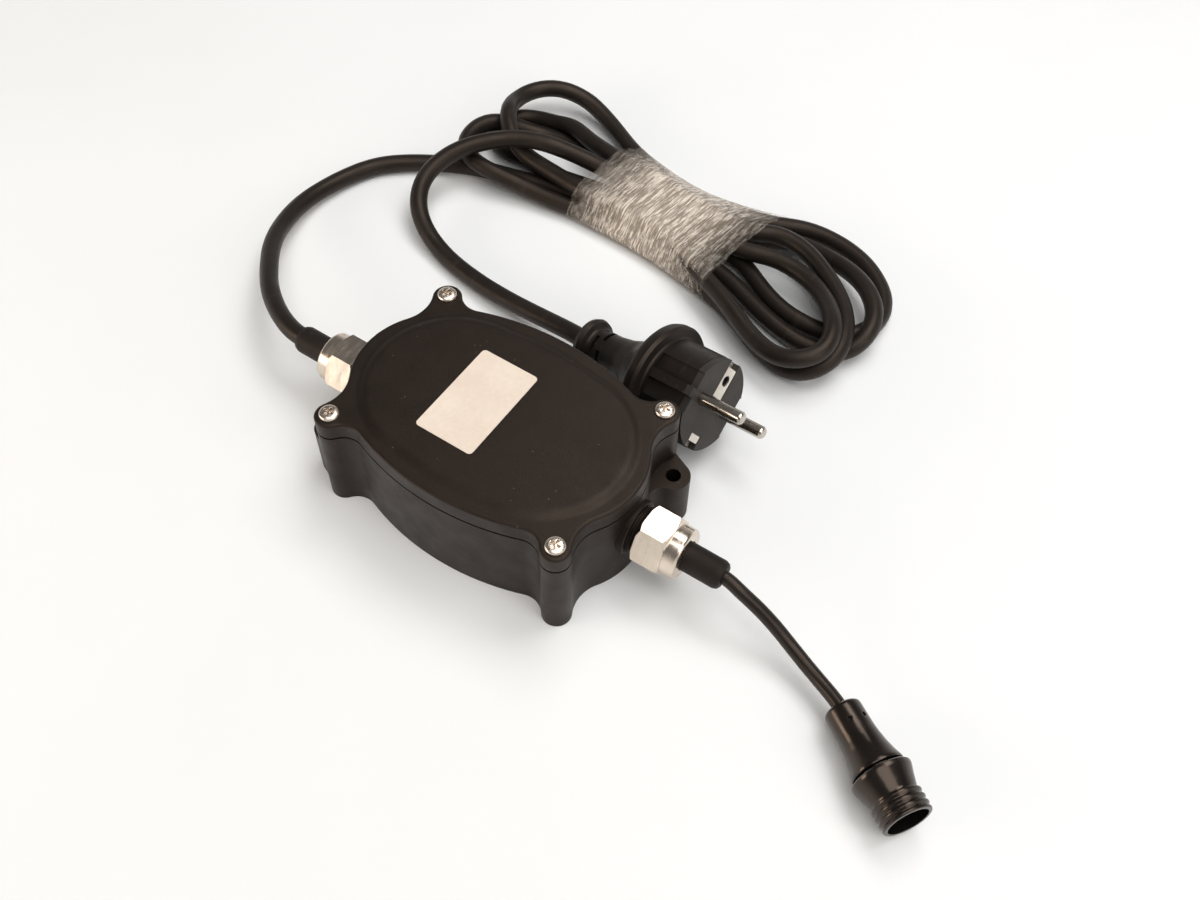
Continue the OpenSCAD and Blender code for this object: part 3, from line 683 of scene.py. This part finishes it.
make_lid()
film_wrap = make_film()
dress("base_shell", BLACK, 0.3)
dress("lid_gasket", SEAL)
dress("lid_screws", SCREW, 0.08)
dress("label", PAPER)
dress("mains_grommet", SLEEVE)
dress("lv_grommet", SLEEVE)
dress("mains_gland_nut", NICKEL, 0.22)
dress("lv_gland_nut", NICKEL, 0.22)
dress("mains_thrust_ring", NYLON)
dress("lv_thrust_ring", NYLON)
dress("plug_body", PLUG, 0.5, 3)
dress("plug_face", FACE, 0.2)
dress("plug_pins", PIN, 0.1)
dress("plug_earth_clips", STRIP, 0.15)
dress("connector_sleeve", CONN, 0.2)
dress("connector_body", CONN, 0.15)
dress("connector_seal", SEAL)
dress("connector_contacts", BRASS)
dress("circuit_board", BOARD)
dress("board_screws", SCREW)
dress("transformer_e_core", IRON, 0.15)
dress("transformer_i_core", IRON, 0.15)
dress("transformer_bobbin", BOBBIN, 0.15)
dress("primary_winding", COPPER, 0.3)
dress("secondary_winding", COPPER, 0.3)
dress("thermal_fuse", CERAMIC)
dress("bridge_rectifier", EPOXY, 0.15)
dress("smoothing_capacitor", CAN, 0.15)
dress("mains_terminal", GREEN, 0.15)
dress("lv_terminal", GREEN, 0.15)
dress("live_core", BROWN)
dress("neutral_core", BLUE)
dress("earth_core", EARTH)
dress("plus_core", RED)
dress("minus_core", JET)


# ---------------------------------------------------------------- floor and lights
def make_floor():
    m, t, p, w = material("floor_paper")
    tone = ramp(t, noise(t, w, 9, 3), [(0.3, (0.90, 0.915, 0.93)), (0.7, (0.92, 0.935, 0.95))])
    link(t, tone, p.inputs["Base Color"])
    p.inputs["Roughness"].default_value = 0.85
    p.inputs["Specular IOR Level"].default_value = 0.1
    me = bpy.data.meshes.new("floor")
    corners = [(x, y, -FLOOR_GAP) for x, y in ((-3, -3), (3, -3), (3, 3), (-3, 3))]
    me.from_pydata(corners, [], [(0, 1, 2, 3)])
    me.materials.append(m)
    o = bpy.data.objects.new("floor", me)
    bpy.context.collection.objects.link(o)


def area_light(name, place, size, power, colour, aim=(0.0, 0.06, 0.0)):
    d = bpy.data.lights.new(name, "AREA")
    d.shape = "RECTANGLE"
    d.size, d.size_y = size
    d.energy = power
    d.color = colour
    o = bpy.data.objects.new(name, d)
    bpy.context.collection.objects.link(o)
    o.location = place
    o.rotation_mode = "QUATERNION"
    o.rotation_quaternion = (Vector(aim) - Vector(place)).to_track_quat("-Z", "Y")


make_floor()
area_light("overhead", (0.13, 0.44, 0.95), (0.8, 0.42), 4.6, (1.0, 0.985, 0.96), (0.03, 0.04, 0))
area_light("ceiling", (0.7, -0.5, 3.0), (2.4, 2.4), 48, (1.0, 0.985, 0.96))
area_light("card", (-0.5, -0.55, 0.22), (0.5, 0.3), 2.2, (1.0, 0.86, 0.72))
area_light("side", (0.8, -0.1, 0.5), (0.4, 0.5), 1.6, (1.0, 0.97, 0.93))


def make_world():
    """Pale near the horizon, darker overhead."""
    world = bpy.data.worlds.new("world")
    world.use_nodes = True
    t = world.node_tree
    split = t.nodes.new("ShaderNodeSeparateXYZ")
    link(t, t.nodes.new("ShaderNodeTexCoord").outputs["Generated"], split.inputs["Vector"])
    sky = t.nodes["Background"]
    link(t, span(t, split.outputs["Z"], 0.0, 0.45, 0.88, 0.14), sky.inputs["Strength"])
    sky.inputs["Color"].default_value = (1.0, 0.97, 0.94, 1)
    bpy.context.scene.world = world


make_world()
bpy.context.scene.view_settings.view_transform = "Standard"
